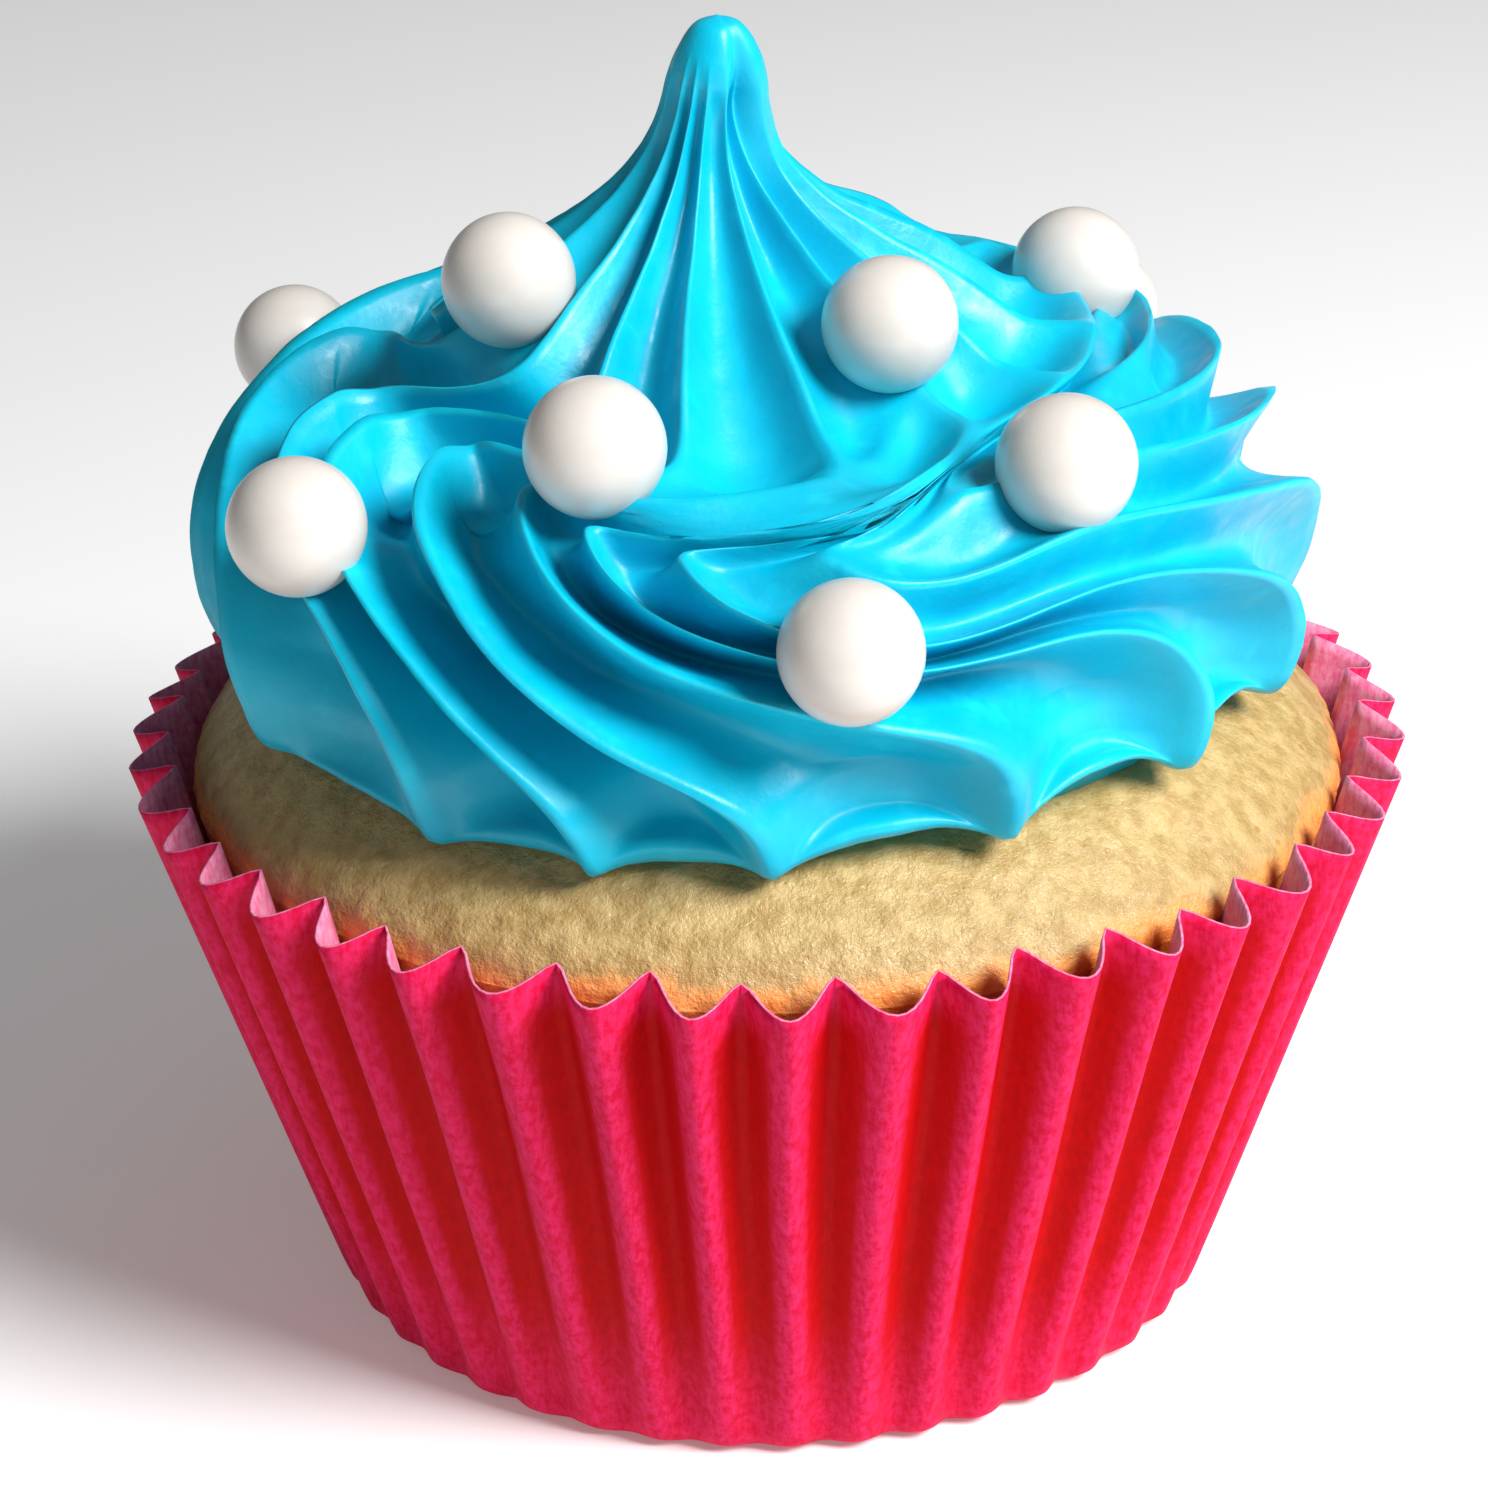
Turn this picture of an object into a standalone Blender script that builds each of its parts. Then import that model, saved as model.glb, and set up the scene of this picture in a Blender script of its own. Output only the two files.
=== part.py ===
"""Cupcake: sponge cake in a pleated paper case, a piped frosting swirl and sugar pearls.

The base centre of the case is the origin, +Z is up and -Y is the front.
Lengths below are in millimetres and are turned into metres when a mesh is made.
"""

import math

import bmesh
import bpy
import numpy as np
from mathutils import Vector

MM = 0.001

# Paper case: a flat disc whose pleated wall leans out to the rim.
PLEATS = 44
PLEAT_TURN = math.radians(-2.6)        # turns one inward fold just off the front
CASE_BASE_OUTER = 25.0
CASE_BASE_INNER = 23.4
CASE_RIM_OUTER = 34.1
CASE_RIM_INNER = 31.6
CASE_RIM_OUTER_HEIGHT = 30.8
CASE_RIM_INNER_HEIGHT = 31.7
CASE_FLOOR_RADIUS = 22.6               # flat disc inside the first pleats
CASE_THICKNESS = 0.3
PLEAT_FLAT = 0.16                      # share of a pleat that each rounded fold takes

# Sponge cake: fills the case and domes over it.
GAP = 0.3                              # clearance between neighbouring pieces
CAKE_FLOOR = CASE_THICKNESS + GAP
CAKE_PROFILE = (                       # radius and height, from the top down the outside
    (0.0, 38.2), (12.0, 37.6), (20.0, 36.4), (25.2, 34.9), (28.0, 33.0), (29.7, 31.2),
    (30.35, 29.6), (30.1, 27.6), (23.5, 1.6), (22.2, CAKE_FLOOR), (0.0, CAKE_FLOOR),
)
CAKE_SIDES = 36

# Frosting swirl: crest envelope by station, from the lower outer edge up to the tip.
# Each station is radius, height and the centre's x and y; the upper turn leans back and left.
SWIRL_STATIONS = np.array((
    (25.2, 36.0, -0.4, 0.0), (28.0, 35.9, -0.4, 0.0), (29.4, 38.6, -0.4, 0.0),
    (29.8, 41.6, -0.4, 0.0), (29.2, 45.2, -0.4, 0.0), (27.4, 48.4, -0.4, 0.1),
    (24.8, 50.6, -0.6, 0.5), (21.6, 51.6, -1.0, 1.1), (18.8, 51.3, -1.5, 1.6),
    (16.4, 52.0, -1.9, 1.9), (14.0, 53.8, -2.2, 2.0), (11.6, 55.5, -2.4, 2.0),
    (9.2, 57.0, -2.5, 2.0), (7.0, 58.5, -2.5, 2.0), (5.1, 60.3, -2.4, 1.9),
    (3.7, 62.2, -2.2, 1.6), (3.0, 64.2, -2.0, 1.2), (2.65, 65.8, -1.9, 0.9),
    (2.15, 67.2, -1.7, 0.7), (1.3, 68.6, -1.5, 0.5), (0.0, 69.1, -1.4, 0.5),
))
LAST_STATION = len(SWIRL_STATIONS) - 1
SEAM_STATION = 8.0                     # where the upper turn meets the ring
RIDGES = 16
SAMPLES_PER_RIDGE = 5
SEAM_SHIFT = 2                         # ridges by which the ridges of the two turns are offset
RIDGE_DEPTH = np.array((               # station and depth of the grooves there
    (0, 0.8), (0.6, 1.8), (1.4, 3.0), (3, 3.4), (5, 2.9), (6.5, 2.1), (7.5, 0.7), (8, 0.3),
    (8.5, 0.7), (9.3, 1.5), (10.5, 2.4), (12, 2.1), (13.5, 1.4), (15, 0.8), (17, 0.35), (20, 0.0),
))
SWIRL_ROWS = (
    0.0, 0.6, 1.4, 2.4, 3.4, 4.3, 5.2, 6.1, 6.9, 7.5, 8.0, 8.5, 9.1, 9.8, 10.8, 12.0, 13.4,
    15.0, 16.8, 18.4, 19.4,
)
UNDERSIDE_RADII = (20.0, 11.0)         # rings of the face that rests on the cake
UNDERSIDE_EDGE = 23.0

# Sugar pearls: azimuth in degrees (0 is +X, -90 the front), station, height over the crests.
PEARL_RADIUS = 3.4
PEARLS = (
    (-82, 4.4, 1.2), (-108.6, 7.0, 2.0), (-50, 10.5, 1.2), (-51.6, 6.3, 0.9), (-141, 5.0, 1.2),
    (-150, 11.2, 1.2), (149, 4.4, 1.2), (23.2, 7.5, 1.2), (48, 4.2, 1.0), (74, 3.6, 1.2),
    (122, 3.9, 1.2), (92, 8.2, 1.0),
)
PEARL_SEGMENTS = 10
PEARL_RINGS = 7

BLUE_FROSTING = (0.0, 0.45, 0.68, 1.0)
PINK_PAPER = (0.75, 0.04, 0.12, 1.0)
YELLOW_SPONGE = (0.76, 0.60, 0.32, 1.0)
WHITE_PEARL = (0.85, 0.82, 0.78, 1.0)


def clear_scene():
    for old in list(bpy.data.objects):
        bpy.data.objects.remove(old)


def new_collection(name):
    collection = bpy.data.collections.new(name)
    bpy.context.scene.collection.children.link(collection)
    return collection


def make_material(name, colour, roughness):
    material = bpy.data.materials.new(name)
    material.use_nodes = True
    shader = material.node_tree.nodes["Principled BSDF"]
    shader.inputs["Base Color"].default_value = colour
    shader.inputs["Roughness"].default_value = roughness
    shader.inputs["Metallic"].default_value = 0.0
    return material


def add_object(name, mesh, material, collection):
    piece = bpy.data.objects.new(name, mesh)
    mesh.materials.append(material)
    collection.objects.link(piece)
    return piece


def loft(bm, rings):
    """Join closed rings of equal length, given as lists of points, with quads."""
    rows = [[bm.verts.new(Vector(point) * MM) for point in ring] for ring in rings]
    count = len(rows[0])
    for lower, upper in zip(rows, rows[1:]):
        for i in range(count):
            j = (i + 1) % count
            bm.faces.new((lower[i], lower[j], upper[j], upper[i]))
    return rows


def cap(bm, ring, centre, upward):
    """Close a ring with a fan round a centre point."""
    middle = bm.verts.new(Vector(centre) * MM)
    count = len(ring)
    for i in range(count):
        j = (i + 1) % count
        bm.faces.new((ring[i], ring[j], middle) if upward else (ring[j], ring[i], middle))


def mesh_from(bm, name):
    mesh = bpy.data.meshes.new(name)
    bm.normal_update()
    bm.to_mesh(mesh)
    bm.free()
    return mesh


# ---- paper case ----

def pleat_ring(outer_radius, inner_radius, outer_height, inner_height):
    """One level of the pleated wall: two points on each outward and each inward fold."""
    ring = []
    pitch = 2 * math.pi / PLEATS
    half_fold = PLEAT_FLAT * pitch
    for pleat in range(PLEATS):
        inward = -math.pi / 2 + PLEAT_TURN + pleat * pitch
        for fold, radius, height in (
            (inward, inner_radius, inner_height),
            (inward + pitch / 2, outer_radius, outer_height),
        ):
            for side in (-1, 1):
                angle = fold + side * half_fold / 2
                ring.append((radius * math.cos(angle), radius * math.sin(angle), height))
    return ring


def wall_level(height):
    """Fold radii of the straight wall at a height."""
    rise = height / CASE_RIM_OUTER_HEIGHT
    outer = CASE_BASE_OUTER + (CASE_RIM_OUTER - CASE_BASE_OUTER) * rise
    inner = CASE_BASE_INNER + (CASE_RIM_INNER - CASE_BASE_INNER) * rise
    return pleat_ring(outer, inner, height, height)


def build_case(collection, material):
    floor_ring = pleat_ring(CASE_FLOOR_RADIUS, CASE_FLOOR_RADIUS, 0.0, 0.0)
    edge_ring = pleat_ring(CASE_BASE_OUTER - 0.9, CASE_BASE_INNER - 0.3, 0.0, 0.0)
    rim_ring = pleat_ring(
        CASE_RIM_OUTER, CASE_RIM_INNER, CASE_RIM_OUTER_HEIGHT, CASE_RIM_INNER_HEIGHT)
    bm = bmesh.new()
    rows = loft(bm, [floor_ring, edge_ring, wall_level(1.2), rim_ring])
    cap(bm, rows[0], (0, 0, 0), upward=False)
    case = add_object("case", mesh_from(bm, "case"), material, collection)
    shell = case.modifiers.new("paper", "SOLIDIFY")
    shell.thickness = CASE_THICKNESS * MM
    shell.offset = -1.0
    return case


# ---- sponge cake ----

def build_cake(collection, material):
    bm = bmesh.new()
    points = [bm.verts.new((radius * MM, 0, height * MM)) for radius, height in CAKE_PROFILE]
    for first, second in zip(points, points[1:]):
        bm.edges.new((first, second))
    cake = add_object("cake", mesh_from(bm, "cake"), material, collection)
    turn = cake.modifiers.new("turn", "SCREW")
    turn.axis = "Z"
    turn.steps = CAKE_SIDES
    turn.render_steps = CAKE_SIDES
    turn.use_merge_vertices = True
    turn.merge_threshold = 0.00001
    return cake


def cake_top(radius):
    """Height of the dome at a radius, read along the profile."""
    dome = CAKE_PROFILE[:7]
    return np.interp(radius, [r for r, z in dome], [z for r, z in dome])


# ---- frosting swirl ----

def along(column, station):
    """Smooth value of one column of the stations, by Catmull-Rom."""
    values = SWIRL_STATIONS[:, column]
    padded = np.concatenate(
        ([2 * values[0] - values[1]], values, [2 * values[-1] - values[-2]]))
    start = np.clip(np.floor(station).astype(int), 0, LAST_STATION - 1)
    u = station - start
    a, b, c, d = (padded[start + i] for i in range(4))
    return 0.5 * (
        2 * b + (c - a) * u + (2 * a - 5 * b + 4 * c - d) * u**2 + (3 * b - a - 3 * c + d) * u**3)


def normal_at(station):
    """Outward normal (radial, upward) of the envelope's profile."""
    before = np.clip(station - 0.01, 0, LAST_STATION)
    after = np.clip(station + 0.01, 0, LAST_STATION)
    dr = along(0, after) - along(0, before)
    dz = along(1, after) - along(1, before)
    length = np.hypot(dr, dz)
    return dz / length, -dr / length


def bump(azimuth, centre, width, power=2):
    """Round bump of height 1 at an azimuth, in degrees."""
    away = np.abs((azimuth - centre + 180) % 360 - 180)
    return np.exp(-(away / width) ** power)


def step(x):
    return 1 / (1 + np.exp(-x))


def ridge_azimuth(ridge, station):
    """Azimuth in degrees of a ridge (a fraction lies between two) at a station.

    Going up the ring a ridge sweeps back clockwise, then it turns the other way round the
    seam and climbs the upper turn nearly straight.
    """
    foot = -90 + 360 / RIDGES * ridge
    sweep = 65 + 20 * np.cos(np.radians(foot - 60))
    turn_at = 4.9 + 0.8 * np.cos(np.radians(foot - 100)) + 0.7 * bump(foot, -60, 35)
    swept = step((station - turn_at) / 0.8)
    hooked = step((station - SEAM_STATION - 0.3) / 0.4)
    back = sweep - 8 - SEAM_SHIFT * 360 / RIDGES
    return foot - sweep * swept + back * hooked


def seam_station(azimuth):
    """The seam lies farther out at the front, where the upper turn's lip shows."""
    return 8.2 - 2.1 * bump(azimuth, -90, 31, 3)


def groove(ridge):
    """0 on a crest and 1 in mid groove: narrow crests between wide, hollow grooves."""
    away = 2 * np.abs(ridge - np.round(ridge))
    return 1 - (1 - away) ** 2.2


def swirl_ring(station):
    ridge = np.arange(RIDGES * SAMPLES_PER_RIDGE) / SAMPLES_PER_RIDGE
    azimuth = ridge_azimuth(ridge, station)
    seam = seam_station(azimuth)
    if station < SEAM_STATION:
        place = station * seam / SEAM_STATION
    else:
        share = (station - SEAM_STATION) / (LAST_STATION - SEAM_STATION)
        place = seam + share * (LAST_STATION - seam)
    out_r, out_z = normal_at(place)
    depth = np.interp(station, RIDGE_DEPTH[:, 0], RIDGE_DEPTH[:, 1]) * groove(ridge)
    overhang = 0.3 * (1 - bump(azimuth, -175, 62, 4))
    lip = overhang * math.exp(-((station - SEAM_STATION - 0.5) / 0.45) ** 2)
    radius = along(0, place) - out_r * depth + lip
    height = along(1, place) - out_z * depth
    x = along(2, place) + radius * np.cos(np.radians(azimuth))
    y = along(3, place) + radius * np.sin(np.radians(azimuth))
    return np.stack((x, y, height), axis=-1)


def underside_ring(edge, radius):
    """Ring of the underside, over the cake's dome, in line with the lower edge."""
    around = np.hypot(edge[:, 0], edge[:, 1])
    x = edge[:, 0] / around * radius
    y = edge[:, 1] / around * radius
    return np.stack((x, y, np.full(len(edge), cake_top(radius) + GAP + 0.1)), axis=-1)


def build_swirl(collection, material, seats):
    upper = [swirl_ring(row) for row in SWIRL_ROWS]
    under = [underside_ring(upper[0], r) for r in (*reversed(UNDERSIDE_RADII), UNDERSIDE_EDGE)]
    bm = bmesh.new()
    rows = loft(bm, [ring.tolist() for ring in (*under, *upper)])
    cap(bm, rows[0], (0, 0, cake_top(0) + GAP + 0.1), upward=False)
    tip = SWIRL_STATIONS[-1]
    cap(bm, rows[-1], (tip[2], tip[3], tip[1]), upward=True)
    frosting = add_object("frosting", mesh_from(bm, "frosting"), material, collection)
    cut = frosting.modifiers.new("pearl_seats", "BOOLEAN")
    cut.operation = "DIFFERENCE"
    cut.operand_type = "COLLECTION"
    cut.collection = seats
    cut.solver = "EXACT"
    return frosting


# ---- sugar pearls ----

def pearl_centre(azimuth, station, over):
    station = float(station)
    out_r, out_z = normal_at(station)
    angle = math.radians(azimuth)
    radius = along(0, np.array(station)) + out_r * over
    return Vector((
        along(2, np.array(station)) + radius * math.cos(angle),
        along(3, np.array(station)) + radius * math.sin(angle),
        along(1, np.array(station)) + out_z * over,
    ))


def add_ball(name, centre, radius, collection):
    bpy.ops.mesh.primitive_uv_sphere_add(
        segments=PEARL_SEGMENTS, ring_count=PEARL_RINGS, radius=radius * MM, location=centre * MM)
    ball = bpy.context.object
    ball.name = name
    for holder in list(ball.users_collection):
        holder.objects.unlink(ball)
    collection.objects.link(ball)
    return ball


def build_pearls(collection, material, seats):
    for number, place in enumerate(PEARLS, start=1):
        centre = pearl_centre(*place)
        pearl = add_ball(f"pearl_{number:02d}", centre, PEARL_RADIUS, collection)
        pearl.data.materials.append(material)
        pearl.data.shade_smooth()
        seat = add_ball(f"seat_{number:02d}", centre, PEARL_RADIUS + GAP + 0.05, seats)
        seat.hide_render = True
        seat.display_type = "WIRE"


def main():
    clear_scene()
    cupcake = new_collection("cupcake")
    seats = new_collection("cutters")
    build_case(cupcake, make_material("pink_paper", PINK_PAPER, 0.7))
    build_cake(cupcake, make_material("yellow_sponge", YELLOW_SPONGE, 0.85))
    build_pearls(cupcake, make_material("white_pearl", WHITE_PEARL, 0.35), seats)
    build_swirl(cupcake, make_material("blue_frosting", BLUE_FROSTING, 0.4), seats)


main()
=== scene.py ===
"""Looks of the cupcake: pleated paper, sponge crumb, piped frosting and sugar pearls.

Lengths are in millimetres and are turned into metres when a mesh is made.
Azimuths are in degrees: 0 is +X, -90 is the front.
"""
import math
import random

import bpy
import numpy as np
from mathutils import Matrix, Vector, noise


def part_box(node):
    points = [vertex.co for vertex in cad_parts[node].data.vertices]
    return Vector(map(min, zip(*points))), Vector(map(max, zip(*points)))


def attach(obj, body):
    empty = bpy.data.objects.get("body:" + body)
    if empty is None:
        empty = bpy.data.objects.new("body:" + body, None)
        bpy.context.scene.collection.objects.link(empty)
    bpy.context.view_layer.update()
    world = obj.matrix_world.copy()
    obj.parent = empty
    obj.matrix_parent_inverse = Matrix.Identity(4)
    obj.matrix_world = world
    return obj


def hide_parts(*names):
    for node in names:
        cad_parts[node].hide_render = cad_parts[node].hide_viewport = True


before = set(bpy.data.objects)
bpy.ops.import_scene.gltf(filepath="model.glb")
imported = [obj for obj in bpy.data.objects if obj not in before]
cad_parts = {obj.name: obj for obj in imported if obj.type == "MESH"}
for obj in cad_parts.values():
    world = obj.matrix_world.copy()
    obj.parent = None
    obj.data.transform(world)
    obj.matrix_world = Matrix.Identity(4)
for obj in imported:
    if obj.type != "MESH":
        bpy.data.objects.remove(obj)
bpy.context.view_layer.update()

MM = 0.001
BODY = "root"

# ---- driving sizes ----

# Camera: looks at a point in the cupcake from the front, a little above.
CAMERA_DISTANCE = 210.0
CAMERA_AIM = (-1.2, 0.0, 29.2)
CAMERA_ELEVATION = 24.6
CAMERA_ROLL = -1.0
CAMERA_LENS = 93.9
SENSOR = 36.0

# Frosting envelope by station, from the lower outer edge to the tip:
# radius, height and the centre's x and y.
SWIRL_STATIONS = np.array((
    (25.2, 36.0, -0.4, 0.0), (28.0, 35.9, -0.4, 0.0), (29.4, 38.6, -0.4, 0.0),
    (29.8, 41.6, -0.4, 0.0), (29.2, 45.2, -0.4, 0.0), (27.4, 48.4, -0.4, 0.1),
    (24.8, 50.6, -0.6, 0.5), (21.6, 51.6, -1.0, 1.1), (18.8, 51.3, -1.5, 1.6),
    (16.4, 52.0, -1.9, 1.9), (14.0, 53.8, -2.2, 2.0), (11.6, 55.5, -2.4, 2.0),
    (9.2, 57.0, -2.5, 2.0), (7.0, 58.5, -2.5, 2.0), (5.0, 60.3, -2.5, 1.9),
    (3.5, 62.2, -2.45, 1.6), (2.7, 64.2, -2.3, 1.2), (2.4, 65.8, -2.15, 0.9),
    (1.95, 67.2, -2.05, 0.7), (1.15, 68.6, -1.95, 0.5), (0.0, 69.1, -1.9, 0.5),
))
LAST_STATION = len(SWIRL_STATIONS) - 1
SEAM_STATION = 8.0
RIDGES = 16
SAMPLES_PER_RIDGE = 20
SWIRL_ROWS = 270
RIDGE_SWEEP = np.array((               # azimuth of a ridge's foot and how far it sweeps back
    (-180, 48), (-157, 41), (-135, 40), (-112, 46), (-90, 47), (-67, 56), (-45, 70), (-22, 81),
    (0, 90), (22, 97), (45, 105), (67, 110), (90, 117), (112, 112), (135, 90), (157, 66),
    (180, 48),
))
RIDGE_DEPTH = np.array((               # station and depth of the grooves there
    (0, 0.8), (0.6, 1.6), (1.6, 3.1), (3, 4.0), (5, 3.6), (6.5, 2.8), (7.5, 1.5), (8, 0.6),
    (8.3, 1.0), (9.3, 1.7), (10.5, 2.5), (12, 2.3), (13.5, 1.5), (15, 0.95), (16.4, 0.55),
    (17.4, 0.1), (18.2, 0.0), (20, 0.0),
))

# Paper case.
PLEATS = 44
PLEAT_TURN = -2.6
CASE_BASE = (23.4, 25.0)               # inward and outward fold radius at the base
CASE_RIM = (31.6, 34.1)                # and at the rim
CASE_RIM_HEIGHT = (31.7, 30.8)
CASE_THICKNESS = 0.12
SAMPLES_PER_PLEAT = 12
CASE_WALL_ROWS = 44

# Sponge dome, radius and height, from under the frosting down the outside.
CAKE_PROFILE = np.array((
    (0.0, 38.2), (12.0, 37.6), (20.0, 36.4), (25.2, 34.9), (28.0, 33.0), (29.9, 31.2),
    (30.7, 29.6), (30.2, 27.6), (26.5, 14.6), (23.6, 4.0), (22.3, 1.0), (19.0, 0.7), (0.0, 0.7),
))


# ---- small helpers ----

def srgb(red, green, blue):
    """Linear colour from 0-255 sRGB values."""
    def linear(value):
        value /= 255
        return value / 12.92 if value <= 0.04045 else ((value + 0.055) / 1.055) ** 2.4
    return (linear(red), linear(green), linear(blue), 1.0)


def smooth(values, place):
    """Catmull-Rom through evenly spaced values."""
    values = np.asarray(values, float)
    last = len(values) - 1
    padded = np.concatenate(
        ([2 * values[0] - values[1]], values, [2 * values[-1] - values[-2]]))
    start = np.clip(np.floor(place).astype(int), 0, last - 1)
    u = place - start
    a, b, c, d = (padded[start + i] for i in range(4))
    return 0.5 * (
        2 * b + (c - a) * u + (2 * a - 5 * b + 4 * c - d) * u**2 + (3 * b - a - 3 * c + d) * u**3)


def bump(azimuth, centre, width, power=2):
    """Round bump of height 1 at an azimuth."""
    away = np.abs((azimuth - centre + 180) % 360 - 180)
    return np.exp(-(away / width) ** power)


def step(x):
    return 1 / (1 + np.exp(-np.clip(x, -40, 40)))


def ease(low, high, x):
    """0 below low, 1 above high, smooth between."""
    t = np.clip((x - low) / (high - low), 0, 1)
    return t * t * (3 - 2 * t)


def field(points, size, seed):
    """Smooth noise from -1 to 1 at points, with features of about a size."""
    shift = Vector((seed * 7.3, seed * 3.1, seed * 5.7))
    return np.array([noise.noise(Vector(p) / size + shift) for p in points])


def grid_mesh(name, rows, closed_start=None, closed_end=None):
    """Mesh from rings of points, closed round, with an optional point at either end."""
    rows = np.asarray(rows)
    count = rows.shape[1]
    points = rows.reshape(-1, 3)
    index = np.arange(len(points)).reshape(rows.shape[0], count)
    after = np.roll(index, -1, axis=1)
    quads = np.stack((index[:-1], after[:-1], after[1:], index[1:]), axis=-1).reshape(-1, 4)
    faces = quads.tolist()
    extra = []
    for ring, centre, first in ((0, closed_start, True), (-1, closed_end, False)):
        if centre is None:
            continue
        middle = len(points) + len(extra)
        extra.append(centre)
        for a, b in zip(index[ring].tolist(), after[ring].tolist()):
            faces.append((b, a, middle) if first else (a, b, middle))
    if extra:
        points = np.concatenate((points, np.array(extra, float)))
    mesh = bpy.data.meshes.new(name)
    mesh.from_pydata((points * MM).tolist(), [], faces)
    mesh.shade_smooth()
    mesh.update()
    return mesh


def store(mesh, name, values):
    """Keep one number a point, for the material to read."""
    attribute = mesh.attributes.new(name, "FLOAT", "POINT")
    padded = np.zeros(len(mesh.vertices))
    padded[:len(values)] = values
    attribute.data.foreach_set("value", padded)


def add_piece(name, mesh, material, node):
    piece = bpy.data.objects.new(name, mesh)
    bpy.context.scene.collection.objects.link(piece)
    if material:
        mesh.materials.append(material)
    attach(piece, BODY)
    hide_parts(node)
    return piece


# ---- materials ----

class Nodes:
    """Short calls for a material's nodes."""

    def __init__(self, name):
        self.material = bpy.data.materials.new(name)
        self.material.use_nodes = True
        self.tree = self.material.node_tree
        self.shader = self.tree.nodes["Principled BSDF"]
        self.place = self.tree.nodes.new("ShaderNodeTexCoord").outputs["Object"]

    def link(self, source, target):
        self.tree.links.new(source, target)

    def set(self, name, value):
        self.shader.inputs[name].default_value = value

    def feed(self, name, source):
        self.link(source, self.shader.inputs[name])

    def noise(self, size, detail=2.0, roughness=0.5, stretch=None):
        """Noise with features of about a size in millimetres."""
        node = self.tree.nodes.new("ShaderNodeTexNoise")
        node.inputs["Scale"].default_value = 1 / (size * MM)
        node.inputs["Detail"].default_value = detail
        node.inputs["Roughness"].default_value = roughness
        place = self.place
        if stretch:
            mapping = self.tree.nodes.new("ShaderNodeMapping")
            mapping.inputs["Scale"].default_value = stretch
            self.link(place, mapping.inputs["Vector"])
            place = mapping.outputs["Vector"]
        self.link(place, node.inputs["Vector"])
        return node.outputs["Fac"]

    def cells(self, size, randomness=1.0):
        node = self.tree.nodes.new("ShaderNodeTexVoronoi")
        node.inputs["Scale"].default_value = 1 / (size * MM)
        node.inputs["Randomness"].default_value = randomness
        self.link(self.place, node.inputs["Vector"])
        return node.outputs["Distance"]

    def number(self, name):
        node = self.tree.nodes.new("ShaderNodeAttribute")
        node.attribute_name = name
        return node.outputs["Fac"]

    def ramp(self, source, low, high, to_low=0.0, to_high=1.0):
        node = self.tree.nodes.new("ShaderNodeMapRange")
        node.interpolation_type = "SMOOTHSTEP"
        for socket, value in (("From Min", low), ("From Max", high),
                              ("To Min", to_low), ("To Max", to_high)):
            node.inputs[socket].default_value = value
        self.link(source, node.inputs["Value"])
        return node.outputs["Result"]

    def maths(self, operation, first, second):
        node = self.tree.nodes.new("ShaderNodeMath")
        node.operation = operation
        for socket, value in zip(node.inputs, (first, second)):
            if isinstance(value, (int, float)):
                socket.default_value = value
            else:
                self.link(value, socket)
        return node.outputs["Value"]

    def mix(self, factor, first, second):
        node = self.tree.nodes.new("ShaderNodeMix")
        node.data_type = "RGBA"
        colour_sockets = [s for s in node.inputs if s.type == "RGBA"]
        for socket, value in zip(colour_sockets, (first, second)):
            if isinstance(value, tuple):
                socket.default_value = value
            else:
                self.link(value, socket)
        self.link(factor, node.inputs["Factor"])
        return next(s for s in node.outputs if s.type == "RGBA")

    def relief(self, height, depth, strength, under=None):
        node = self.tree.nodes.new("ShaderNodeBump")
        node.inputs["Distance"].default_value = depth * MM
        node.inputs["Strength"].default_value = strength
        self.link(height, node.inputs["Height"])
        if under:
            self.link(under, node.inputs["Normal"])
        return node.outputs["Normal"]


def frosting_material():
    m = Nodes("blue_frosting")
    base = srgb(0, 188, 218)
    deep = srgb(0, 174, 206)
    pale = srgb(24, 204, 230)
    tone = m.mix(m.ramp(m.noise(9.0, 3), 0.35, 0.65), deep, base)
    m.feed("Base Color", m.mix(m.ramp(m.noise(2.2, 3), 0.55, 0.75, 0.0, 0.5), tone, pale))
    m.feed("Roughness", m.ramp(m.noise(1.6, 4, 0.6), 0.3, 0.7, 0.30, 0.50))
    m.set("Subsurface Weight", 0.15)
    m.set("Subsurface Radius", (0.3, 0.8, 1.0))
    m.set("Subsurface Scale", 1.5 * MM)
    m.set("Specular IOR Level", 0.38)
    swell = m.relief(m.noise(1.8, 2), 0.12, 0.25)
    m.feed("Normal", m.relief(m.noise(0.3, 2), 0.03, 0.5, swell))
    return m.material


def pearl_material():
    m = Nodes("white_pearl")
    m.feed("Base Color", m.mix(m.noise(1.5, 2), srgb(216, 210, 203), srgb(208, 201, 194)))
    m.feed("Roughness", m.ramp(m.noise(0.5, 2), 0.3, 0.7, 0.32, 0.42))
    m.set("Coat Weight", 0.5)
    m.set("Coat Roughness", 0.16)
    m.set("Subsurface Weight", 0.1)
    m.set("Subsurface Scale", 1.0 * MM)
    m.feed("Normal", m.relief(m.noise(0.25, 2), 0.02, 0.25))
    return m.material


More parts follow.
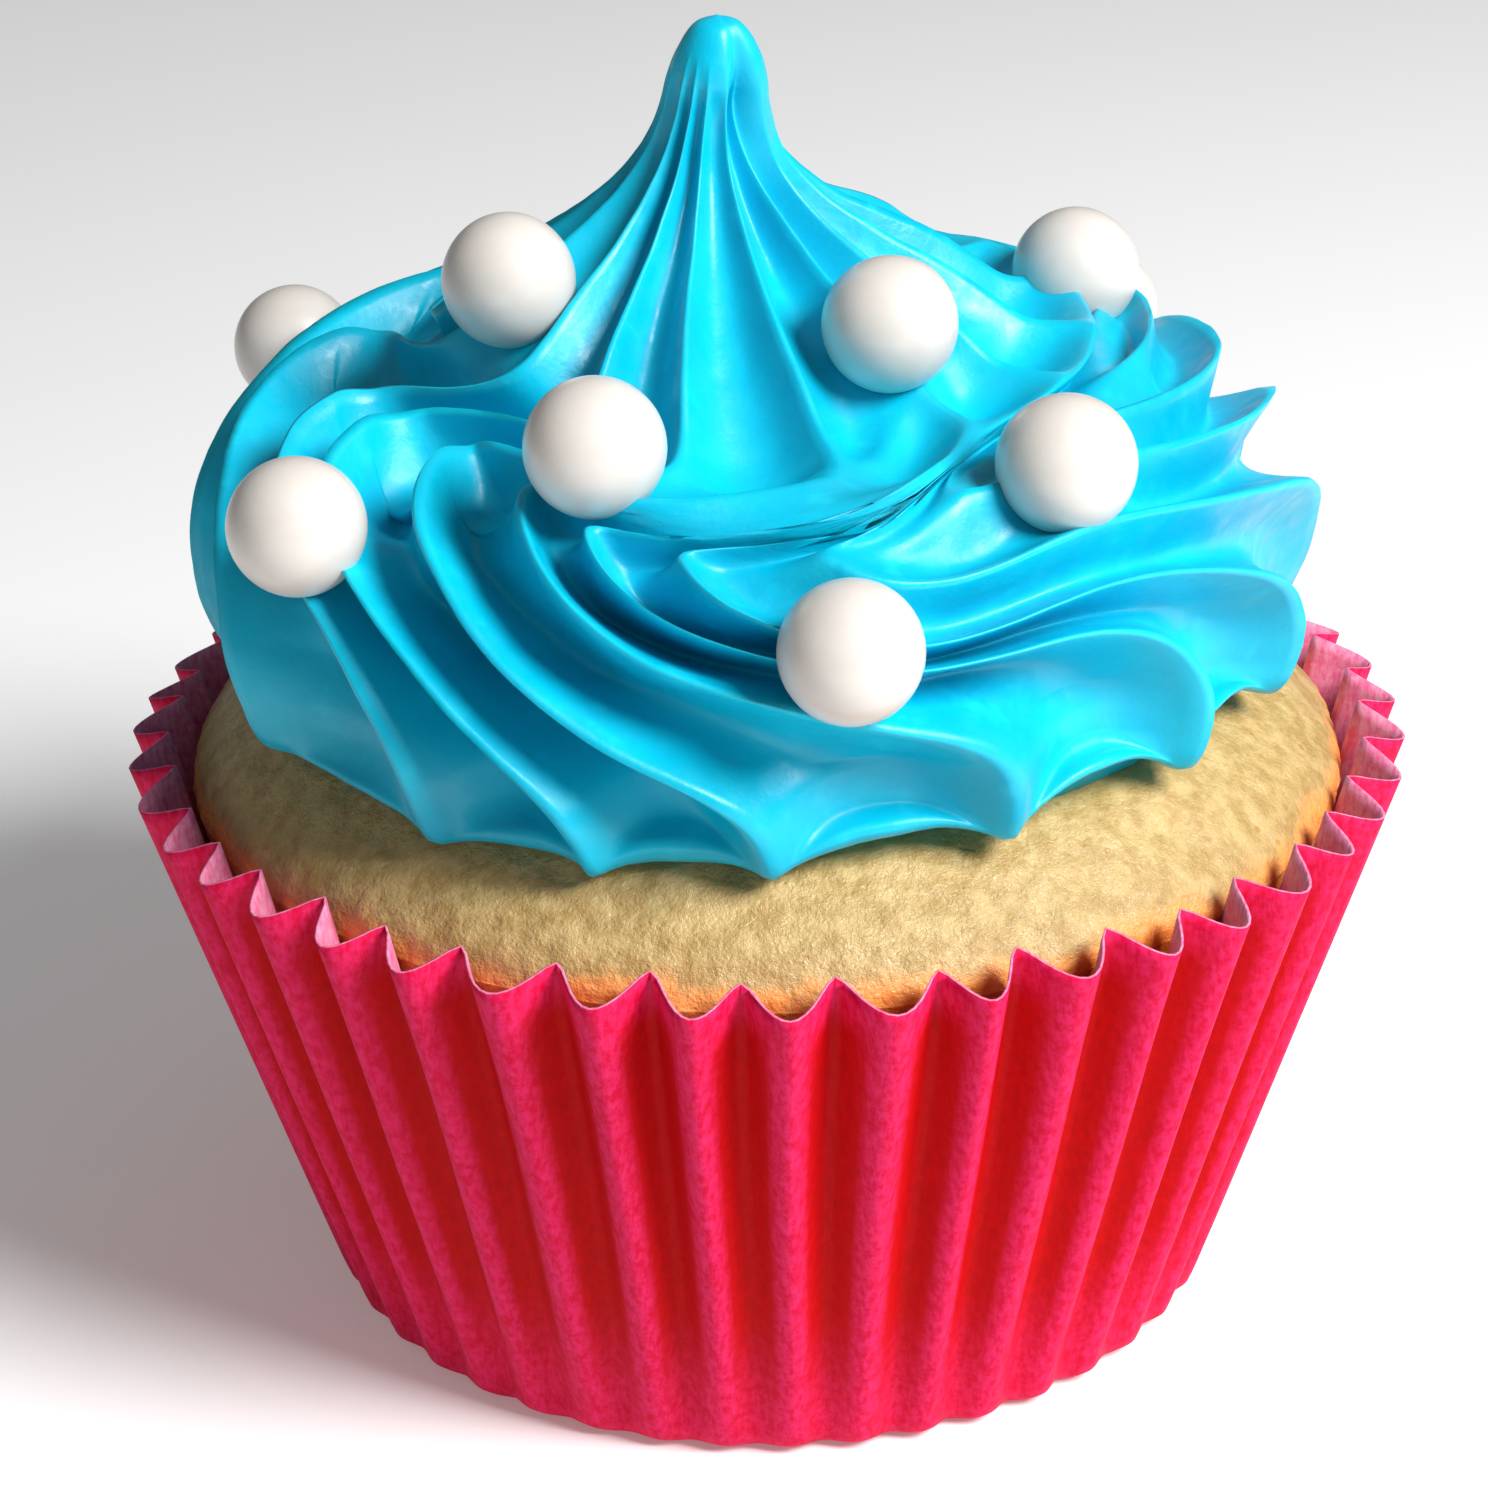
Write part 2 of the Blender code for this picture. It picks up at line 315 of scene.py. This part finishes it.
def cake_material():
    m = Nodes("yellow_sponge")
    crumb = m.mix(m.ramp(m.noise(1.3, 4, 0.6), 0.35, 0.65), srgb(174, 142, 84), srgb(198, 168, 112))
    edge_noise = m.maths("ADD", m.number("browning"), m.ramp(m.noise(2.6, 3), 0.3, 0.7, -0.25, 0.25))
    golden = m.mix(m.ramp(edge_noise, 0.25, 0.8), crumb, srgb(232, 158, 84))
    toasted = m.mix(m.ramp(edge_noise, 0.75, 1.15), golden, srgb(214, 118, 40))
    # Darker brown spots at random in the crumb: painted shade standing in for the shadowed holes of
    # pores.
    pore_shade = m.ramp(m.cells(2.1), 0.06, 0.13, 0.75, 0.0)
    m.feed("Base Color", m.mix(pore_shade, toasted, srgb(170, 132, 66)))
    m.feed("Roughness", m.ramp(m.noise(0.3, 3, 0.7), 0.35, 0.62, 0.62, 0.28))
    m.set("Specular IOR Level", 0.5)
    m.set("Subsurface Weight", 0.15)
    m.set("Subsurface Radius", (1.0, 0.6, 0.3))
    m.set("Subsurface Scale", 1.2 * MM)
    coarse = m.relief(m.noise(0.7, 4, 0.7), 0.26, 0.85)
    m.feed("Normal", m.relief(m.noise(0.22, 2, 0.6), 0.07, 0.8, coarse))
    return m.material


def paper_fibres(m):
    fine = m.noise(0.5, 4, 0.7)
    streaks = m.noise(0.45, 3, 0.6, stretch=(1.6, 1.6, 0.35))
    return m.maths("ADD", m.maths("MULTIPLY", fine, 0.5), m.maths("MULTIPLY", streaks, 0.5))


def paper_outside_material():
    m = Nodes("pink_paper_outside")
    fibres = m.ramp(paper_fibres(m), 0.35, 0.65)
    dry = m.mix(fibres, srgb(198, 2, 52), srgb(218, 38, 96))
    greasy = m.mix(fibres, srgb(176, 0, 2), srgb(192, 0, 8))
    m.feed("Base Color", m.mix(m.number("grease"), dry, greasy))
    m.set("Roughness", 0.65)
    m.set("Specular IOR Level", 0.1)
    m.feed("Normal", m.relief(paper_fibres(m), 0.04, 0.35))
    return m.material


def paper_inside_material():
    m = Nodes("pink_paper_inside")
    fibres = m.ramp(paper_fibres(m), 0.35, 0.65)
    m.feed("Base Color", m.mix(fibres, srgb(226, 92, 138), srgb(236, 150, 178)))
    m.set("Roughness", 0.65)
    m.set("Specular IOR Level", 0.3)
    m.feed("Normal", m.relief(paper_fibres(m), 0.05, 0.4))
    return m.material


# ---- frosting ----

def profile_normal(place):
    """Outward normal (radial, upward) of the envelope."""
    before = np.clip(place - 0.01, 0, LAST_STATION)
    after = np.clip(place + 0.01, 0, LAST_STATION)
    dr = smooth(SWIRL_STATIONS[:, 0], after) - smooth(SWIRL_STATIONS[:, 0], before)
    dz = smooth(SWIRL_STATIONS[:, 1], after) - smooth(SWIRL_STATIONS[:, 1], before)
    length = np.hypot(dr, dz) + 1e-9
    return dz / length, -dr / length


def ridge_azimuth(ridge, station):
    """Azimuth of a ridge at a station.

    Going up the ring a ridge sweeps back clockwise, then it hooks round the seam and climbs
    the upper turn nearly straight.
    """
    foot = -90 + 360 / RIDGES * ridge
    turned = (foot + 180) % 360 - 180
    sweep = np.interp(turned, RIDGE_SWEEP[:, 0], RIDGE_SWEEP[:, 1])
    turn_at = 5.4 + 1.4 * np.cos(np.radians(foot - 100)) + 1.2 * bump(foot, -60, 35)
    start = step(-turn_at / 0.7)
    swept = (step((station - turn_at) / 0.7) - start) / (1 - start)
    in_sight = bump(foot, -125, 70, 4)
    hooked = step((station - SEAM_STATION - 0.05 - 0.9 * in_sight) / (0.09 + 0.26 * in_sight))
    shifted = foot + 3 + 5 * bump(foot, -135, 30)
    return shifted - sweep * swept + (sweep - 8) * hooked


def groove(ridge):
    """0 on a crest and 1 in mid groove: thin rounded crests between wide, hollow grooves."""
    turn = 2 * np.pi * ridge / RIDGES
    ridge = ridge + 0.07 * np.sin(3 * turn + 1.0) + 0.06 * np.sin(5 * turn + 2.0)
    away = 2 * np.abs(ridge - np.round(ridge))
    rounding = 0.06
    away = (np.hypot(away, rounding) - rounding) / (math.hypot(1, rounding) - rounding)
    return 1 - (1 - away) ** 2.3


def swirl_points(ridge, station, kept):
    """Points of the swirl. Kept is the share of the grooves' depth that stays."""
    azimuth = ridge_azimuth(ridge, station)
    seam = 8.2 - 2.1 * bump(azimuth, -90, 31, 3)
    upper_share = (station - SEAM_STATION) / (LAST_STATION - SEAM_STATION)
    place = np.where(station < SEAM_STATION, station * seam / SEAM_STATION,
                     seam + upper_share * (LAST_STATION - seam))
    out_r, out_z = profile_normal(place)
    radius = smooth(SWIRL_STATIONS[:, 0], place)
    height = smooth(SWIRL_STATIONS[:, 1], place)

    # The ring's lower edge hangs at the front, and the upper turn stands high at the back.
    hang = 1.5 * bump(azimuth, -108, 38) * np.exp(-(station / 2.6) ** 2)
    shoulder = 1.3 * bump(azimuth, 40, 45) * np.exp(-((station - 10.5) / 2.4) ** 2)
    height = height - hang + shoulder

    # The upper turn stands out over the ring, except on the left where they run together.
    overlap = 1 - bump(azimuth, -175, 62, 4)
    front = bump(azimuth, -85, 36, 3)
    lip = overlap * (1.9 - 0.9 * front) * np.exp(-((station - SEAM_STATION - 0.42) / 0.42) ** 2)
    crease = overlap * (1.6 - front) * np.exp(-((station - SEAM_STATION + 0.12) / 0.3) ** 2)
    radius = radius + lip - 0.9 * crease
    height = height + 0.35 * lip - 0.75 * crease

    turn = 2 * np.pi * ridge / RIDGES
    depth = np.interp(station, RIDGE_DEPTH[:, 0], RIDGE_DEPTH[:, 1])
    band = front * np.exp(-((station - 8.95) / 0.8) ** 4)
    hidden_seam = bump(azimuth, 20, 95, 6)
    lobes = hidden_seam * np.exp(-((station - 8.95) / 0.4) ** 2)
    left = bump(azimuth, -158, 60, 4) * np.exp(-((station - 7.2) / 2.6) ** 4)
    plain = hidden_seam * np.exp(-((station - 8.05) / 0.62) ** 6)
    depth = depth * (1 - 0.8 * band) * (1 - plain) + 0.9 * lobes + 2.4 * left
    full_edge = bump(azimuth, -115, 42, 4) * np.exp(-(station / 1.1) ** 2)
    low_left = bump(azimuth, -138, 36) * np.exp(-((station - 3.4) / 1.9) ** 2)
    depth = depth * (1 - 0.72 * full_edge) * (1 + 0.3 * low_left)
    depth = depth * (1 + 0.12 * np.sin(2 * turn + 0.5) + 0.1 * np.sin(5 * turn + 4))
    roll = bump(azimuth, -12, 40) * np.exp(-((station - 16.8) / 2.1) ** 4)
    furrow = bump(azimuth, -52, 15) * np.exp(-((station - 16.3) / 1.7) ** 2)
    inset = kept * depth * groove(ridge) * (1 - roll) - 0.35 * roll + 1.2 * furrow
    radius = radius - out_r * inset
    height = height - out_z * inset
    angle = np.radians(azimuth)
    return np.stack((smooth(SWIRL_STATIONS[:, 2], place) + radius * np.cos(angle),
                     smooth(SWIRL_STATIONS[:, 3], place) + radius * np.sin(angle),
                     height), axis=-1)


def groove_share(envelope, pearls):
    """Share of the groove depth that stays: frosting is squeezed up round each pearl."""
    share = np.ones(envelope.shape[:2])
    for centre, radius in pearls:
        away = np.linalg.norm(envelope - centre, axis=-1)
        share = share * (1 - 0.7 * np.exp(-(away / (1.25 * radius)) ** 2))
    return share


def seat_pearls(points, centres):
    """Push frosting that a pearl would hold out to the pearl's surface."""
    for centre, radius in centres:
        away = points - centre
        distance = np.linalg.norm(away, axis=1)
        seat = radius - 0.15
        inside = distance < seat
        points[inside] = centre + away[inside] / distance[inside, None] * seat
    return points


def cake_top(radius):
    dome = CAKE_PROFILE[:7]
    return np.interp(radius, dome[:, 0], dome[:, 1])


def build_frosting(material, pearls):
    ridge = np.arange(RIDGES * SAMPLES_PER_RIDGE) / SAMPLES_PER_RIDGE
    stations = np.linspace(0, LAST_STATION, SWIRL_ROWS)[:-1]
    grid = (ridge[None, :], stations[:, None])
    envelope = swirl_points(*grid, 0.0)
    rows = swirl_points(*grid, groove_share(envelope, pearls))
    edge = rows[0]
    around = np.hypot(edge[:, 0], edge[:, 1])[:, None]
    sunk = []
    for radius in (18.0, 24.0):
        flat = edge[:, :2] / around * radius
        height = np.full((len(edge), 1), cake_top(radius) - 0.5)
        sunk.append(np.concatenate((flat, height), axis=1))
    rows = np.concatenate((sunk, rows))
    shape = rows.shape
    points = rows.reshape(-1, 3)
    ripple = field(points, 2.6, 1) * 0.10 + field(points, 0.9, 2) * 0.025
    middle = np.array((-1.0, 0.5, 42.0))
    outward = points - middle
    outward /= np.linalg.norm(outward, axis=1)[:, None]
    points = points + outward * ripple[:, None]
    points = seat_pearls(points, pearls)
    tip = SWIRL_STATIONS[-1]
    mesh = grid_mesh("frosting_swirl", points.reshape(shape),
                     (0, 0, cake_top(0) - 0.5), (tip[2], tip[3], tip[1]))
    add_piece("frosting_swirl", mesh, material, "frosting")


# ---- sponge ----

def along_profile(profile, spacing):
    """Points along a profile: sharp corners rounded by Catmull-Rom, about a spacing apart."""
    lengths = np.hypot(*np.diff(profile, axis=0).T)
    places = []
    for i, length in enumerate(lengths):
        gap = spacing if 3 <= i <= 7 else spacing * 8
        places.extend(i + np.arange(0, 1, gap / length))
    places = np.array(places)
    return np.stack((smooth(profile[:, 0], places), smooth(profile[:, 1], places)), axis=-1)


def build_cake(material):
    outline = along_profile(CAKE_PROFILE, 0.25)[1:]
    sides = 720
    angle = np.arange(sides) * 2 * np.pi / sides
    radius = outline[:, :1] + 0 * angle
    height = outline[:, 1:] + 0 * angle
    lean = 0.35 * np.cos(angle - math.radians(200)) + 0.2 * np.cos(3 * angle + 1)
    dome = ease(28.0, 31.0, height)
    height = height + dome * lean
    rows = np.stack((radius * np.cos(angle), radius * np.sin(angle), height), axis=-1)
    points = rows.reshape(-1, 3)
    crumb = 0.16 * field(points, 3.2, 3) + 0.09 * field(points, 1.1, 4) + 0.05 * field(points, 0.5, 5)
    outward = points - np.array((0, 0, 15.0))
    outward /= np.linalg.norm(outward, axis=1)[:, None]
    shown = ease(24.0, 28.0, points[:, 2])
    moved = points + outward * (crumb * shown)[:, None]
    mesh = grid_mesh("sponge", moved.reshape(rows.shape), (0, 0, 38.2), (0, 0, 0.7))
    store(mesh, "browning", ease(31.8, 29.2, points[:, 2]))
    add_piece("sponge", mesh, material, "cake")


# ---- paper case ----

def pleat_wave(pleat, share):
    """0 on an inward fold and 1 on an outward one: sharp inward folds at the rim, soft below."""
    away = 2 * np.abs(pleat - np.round(pleat))
    soft = 0.16
    sharp = (np.hypot(away, soft) - soft) / (math.hypot(1, soft) - soft)
    crisp = np.sin(np.pi / 2 * sharp) ** 0.9
    rounded = 0.5 - 0.5 * np.cos(np.pi * away ** 0.9)
    blend = ease(0.72, 1.0, share)
    return crisp * blend + rounded * (1 - blend)


def build_case(outside, inside):
    rng = random.Random(7)
    count = PLEATS * SAMPLES_PER_PLEAT
    pleat = np.arange(count) / SAMPLES_PER_PLEAT
    nearest = np.round(pleat).astype(int) % PLEATS
    width = np.array([rng.uniform(-0.09, 0.09) for _ in range(PLEATS)])
    depth = np.array([rng.uniform(0.82, 1.06) for _ in range(PLEATS)])
    foot_depth = np.array([rng.uniform(0.2, 0.45) for _ in range(PLEATS)])
    lift = np.array([rng.uniform(-0.25, 0.25) for _ in range(PLEATS)])

    def per_pleat(values):
        """One value a pleat, blended smoothly from each pleat to the next."""
        low = np.floor(pleat).astype(int) % PLEATS
        share = ease(0, 1, pleat - np.floor(pleat))
        return values[low] * (1 - share) + values[(low + 1) % PLEATS] * share

    shares = np.linspace(0, 1, CASE_WALL_ROWS)
    rows = []
    grease = []
    base_height = 1.4
    for share in shares:
        wave = pleat_wave(pleat, share)
        inner = CASE_BASE[0] + (CASE_RIM[0] - CASE_BASE[0]) * share
        outer = CASE_BASE[1] + (CASE_RIM[1] - CASE_BASE[1]) * share
        risen = share ** 0.45
        fold = per_pleat(depth) * risen + per_pleat(foot_depth) * (1 - risen)
        strength = wave * fold + (1 - fold) * 0.85
        radius = inner + (outer - inner) * strength
        top = CASE_RIM_HEIGHT[0] + (CASE_RIM_HEIGHT[1] - CASE_RIM_HEIGHT[0]) * wave
        top = top + per_pleat(lift)
        height = base_height + (top - base_height) * share
        angle = np.radians(-90 + PLEAT_TURN) + 2 * np.pi / PLEATS * (
            pleat + per_pleat(width) * (0.35 + 0.65 * share) + 0.015 * np.sin(7 * share + pleat))
        rows.append(np.stack((radius * np.cos(angle), radius * np.sin(angle), height), axis=-1))
        reach = ease(0.98, 0.90, share) * (0.3 + 0.7 * ease(0.02, 0.3, share))
        grease.append(ease(0.90, 0.52, wave) * reach)
    foot = rows[0]
    around = np.hypot(foot[:, 0], foot[:, 1])
    unit = foot[:, :2] / around[:, None]
    under = []
    for inset, height in ((9.0, 0.06), (3.2, 0.06), (1.5, 0.10), (0.75, 0.30), (0.25, 0.75)):
        blend = ease(3.2, 0.3, inset)
        radius = (around - 24.2) * blend + 24.2 - inset
        under.append(np.concatenate((unit * radius[:, None], np.full((count, 1), height)), axis=1))
        grease.insert(0, grease[0] * 0.6)
    rows = under + rows
    mesh = grid_mesh("paper_case", rows, (0, 0, 0.06))
    store(mesh, "grease", np.concatenate(grease))
    mesh.materials.append(outside)
    mesh.materials.append(inside)
    piece = add_piece("paper_case", mesh, None, "case")
    shell = piece.modifiers.new("paper", "SOLIDIFY")
    shell.thickness = CASE_THICKNESS * MM
    shell.offset = -1.0
    shell.material_offset = 1
    shell.material_offset_rim = 1


# ---- sugar pearls ----

def pearl_places():
    """Centre and radius of each pearl, from its solid's box."""
    places = {}
    for name in sorted(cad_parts):
        if name.startswith("pearl_"):
            low, high = (np.array(corner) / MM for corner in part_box(name))
            places[name] = ((low + high) / 2, (high[2] - low[2]) / 2)
    return places


def build_pearl(name, centre, radius, material, number):
    bpy.ops.mesh.primitive_uv_sphere_add(segments=56, ring_count=36, radius=radius * MM)
    ball = bpy.context.object
    mesh = ball.data
    bpy.data.objects.remove(ball)
    mesh.name = f"sugar_{name}"
    points = np.array([tuple(v.co) for v in mesh.vertices]) / MM
    uneven = 1 + 0.012 * field(points, 4.0, 20 + number)
    points = points * uneven[:, None] + centre
    mesh.vertices.foreach_set("co", (points * MM).ravel())
    mesh.shade_smooth()
    mesh.update()
    add_piece(f"sugar_{name}", mesh, material, name)


# ---- stage ----

def build_floor():
    bpy.ops.mesh.primitive_plane_add(size=4.0)
    floor = bpy.context.object
    floor.name = "floor"
    m = Nodes("pale_floor")
    m.feed("Base Color", m.mix(m.noise(60.0), srgb(246, 246, 246), srgb(243, 243, 244)))
    m.set("Roughness", 0.8)
    m.set("Emission Color", (1.0, 1.0, 1.0, 1.0))
    m.set("Emission Strength", 0.16)
    floor.data.materials.append(m.material)


def add_light(name, azimuth, elevation, distance, size, power):
    light = bpy.data.lights.new(name, "AREA")
    light.shape = "DISK"
    light.size = size
    light.energy = power
    lamp = bpy.data.objects.new(name, light)
    bpy.context.scene.collection.objects.link(lamp)
    turn, rise = math.radians(azimuth), math.radians(elevation)
    away = Vector((math.cos(turn) * math.cos(rise), math.sin(turn) * math.cos(rise),
                   math.sin(rise)))
    target = Vector((0, 0, 40 * MM))
    lamp.location = target + away * distance
    lamp.rotation_euler = away.to_track_quat("Z", "Y").to_euler()


def build_light():
    world = bpy.data.worlds.new("studio")
    bpy.context.scene.world = world
    world.use_nodes = True
    background = world.node_tree.nodes["Background"]
    background.inputs["Color"].default_value = (1, 1, 1, 1)
    background.inputs["Strength"].default_value = 0.16
    add_light("key", -38, 41, 0.5, 0.22, 4.3)
    bpy.context.scene.view_settings.view_transform = "Standard"


def build_camera():
    rise = math.radians(CAMERA_ELEVATION)
    roll = math.radians(CAMERA_ROLL)
    back = Vector((0, -math.cos(rise), math.sin(rise)))
    up = Vector((0, math.sin(rise), math.cos(rise)))
    right = Vector((1, 0, 0))
    tilted_right = right * math.cos(roll) + up * math.sin(roll)
    tilted_up = up * math.cos(roll) - right * math.sin(roll)
    camera = bpy.data.objects.new("camera", bpy.data.cameras.new("camera"))
    camera.data.sensor_width = SENSOR
    camera.data.lens = CAMERA_LENS
    camera.data.clip_start = 0.01
    bpy.context.scene.collection.objects.link(camera)
    axes = Matrix((tilted_right, tilted_up, back)).transposed().to_4x4()
    axes.translation = (Vector(CAMERA_AIM) + back * CAMERA_DISTANCE) * MM
    camera.matrix_world = axes
    bpy.context.scene.camera = camera


def main():
    build_camera()
    build_light()
    build_floor()
    pearls = pearl_places()
    build_case(paper_outside_material(), paper_inside_material())
    build_cake(cake_material())
    build_frosting(frosting_material(), list(pearls.values()))
    white = pearl_material()
    for number, (name, (centre, radius)) in enumerate(pearls.items()):
        build_pearl(name, centre, radius, white, number)


main()
